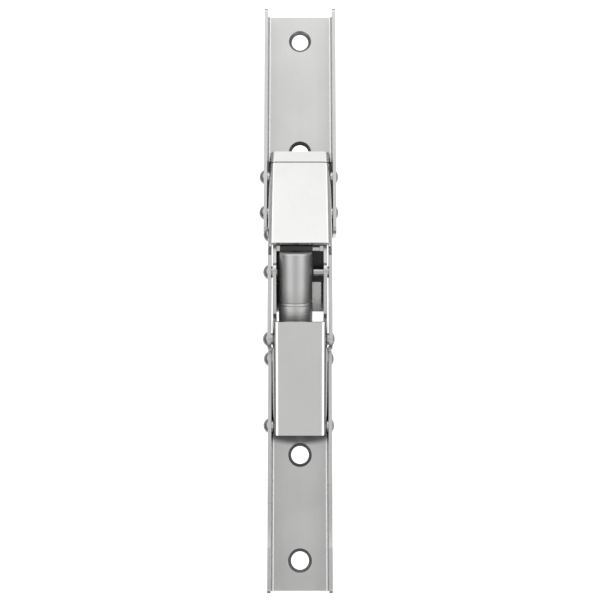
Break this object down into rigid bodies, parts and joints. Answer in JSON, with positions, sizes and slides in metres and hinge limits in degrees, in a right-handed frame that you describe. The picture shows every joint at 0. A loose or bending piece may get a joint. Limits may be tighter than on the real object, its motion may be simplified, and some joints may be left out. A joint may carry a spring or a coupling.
{
  "type": "concealed link hinge",
  "caption": "Concealed stainless-steel link hinge with two screw-on channels, crossing arms, cover links and a built-in damper, fully open.",
  "frame": {"origin": "midway between the lower channel's two screw holes, on the channel's mounting back", "axes": "+Y along the hinge from the lower channel to the upper channel, +Z out of the open side of the channels, pivots along X with the rivet heads on -X"},
  "size_m": [0.0356, 0.261, 0.0314],
  "materials": {
    "channel_steel": "satin",
    "cover_steel": "fine satin",
    "arm_steel": "satin",
    "rivet_steel": "pressed and tumbled",
    "washer_steel": "plain",
    "barrel_steel": "drawn and turned",
    "rod_steel": "ground",
    "spring_steel": "drawn wire",
    "piston_alloy": "machined",
    "seal_rubber": "matt",
    "cam_plastic": "moulded",
    "saddle_plastic": "moulded"
  },
  "bodies": {
    "lower_channel": {"lower_channel": "channel_steel", "rivet_inner_arm": "rivet_steel", "rivet_lower_cover": "rivet_steel", "washers_lower_channel": "washer_steel", "damper_cam": "cam_plastic"},
    "inner_arm": {"inner_arm": "arm_steel", "damper_barrel": "barrel_steel", "damper_sleeve": "barrel_steel", "damper_saddle": "saddle_plastic", "damper_clip": "arm_steel", "damper_spring": "spring_steel"},
    "outer_arms": {"outer_arm_left": "arm_steel", "outer_arm_right": "arm_steel", "rivets_crossing": "rivet_steel", "rivet_lower_link": "rivet_steel", "washers_crossing": "washer_steel", "washers_lower_link": "washer_steel"},
    "upper_channel": {"upper_channel": "channel_steel", "upper_guard": "cover_steel", "rivet_upper_cover": "rivet_steel", "rivet_outer_arm": "rivet_steel", "washers_upper_channel": "washer_steel"},
    "lower_cover": {"lower_cover": "cover_steel"},
    "upper_cover": {"upper_cover": "cover_steel", "rivet_cover_link": "rivet_steel", "washers_cover_link": "washer_steel"},
    "damper_rod": {"damper_rod": "rod_steel", "damper_piston": "piston_alloy", "damper_seal": "seal_rubber"}
  },
  "joints": [
    {"name": "inner_arm_swing", "type": "hinge", "parent": "lower_channel", "child": "inner_arm", "pos_m": [0, 0.064, 0.0078], "axis": [1, 0, 0], "range_deg": [0, 90]},
    {"name": "crossing_swing", "type": "hinge", "parent": "inner_arm", "child": "outer_arms", "pos_m": [0, 0.1, 0.0213], "axis": [1, 0, 0], "range_deg": [-90, 0]},
    {"name": "upper_channel_swing", "type": "hinge", "parent": "outer_arms", "child": "upper_channel", "pos_m": [0, 0.12975, 0.0078], "axis": [1, 0, 0], "range_deg": [0, 90]},
    {"name": "lower_cover_swing", "type": "hinge", "parent": "lower_channel", "child": "lower_cover", "pos_m": [0, 0.035, 0.0078], "axis": [1, 0, 0], "range_deg": [0, 90]},
    {"name": "upper_cover_swing", "type": "hinge", "parent": "upper_channel", "child": "upper_cover", "pos_m": [0, 0.14625, 0.0078], "axis": [1, 0, 0], "range_deg": [-90, 0]},
    {"name": "damper_slide", "type": "slide", "parent": "inner_arm", "child": "damper_rod", "axis": [0, 0.9363, 0.3511], "range_m": [0, 0.005], "deforming": ["damper_spring"]}
  ],
  "couplings": [
    {"joint": "crossing_swing", "follows": "inner_arm_swing", "ratio": -1},
    {"joint": "upper_channel_swing", "follows": "inner_arm_swing", "ratio": 1},
    {"joint": "lower_cover_swing", "follows": "inner_arm_swing", "ratio": 1},
    {"joint": "upper_cover_swing", "follows": "inner_arm_swing", "ratio": -1},
    {"joint": "damper_slide", "follows": "inner_arm_swing", "m_per_rad": 0.00318}
  ]
}
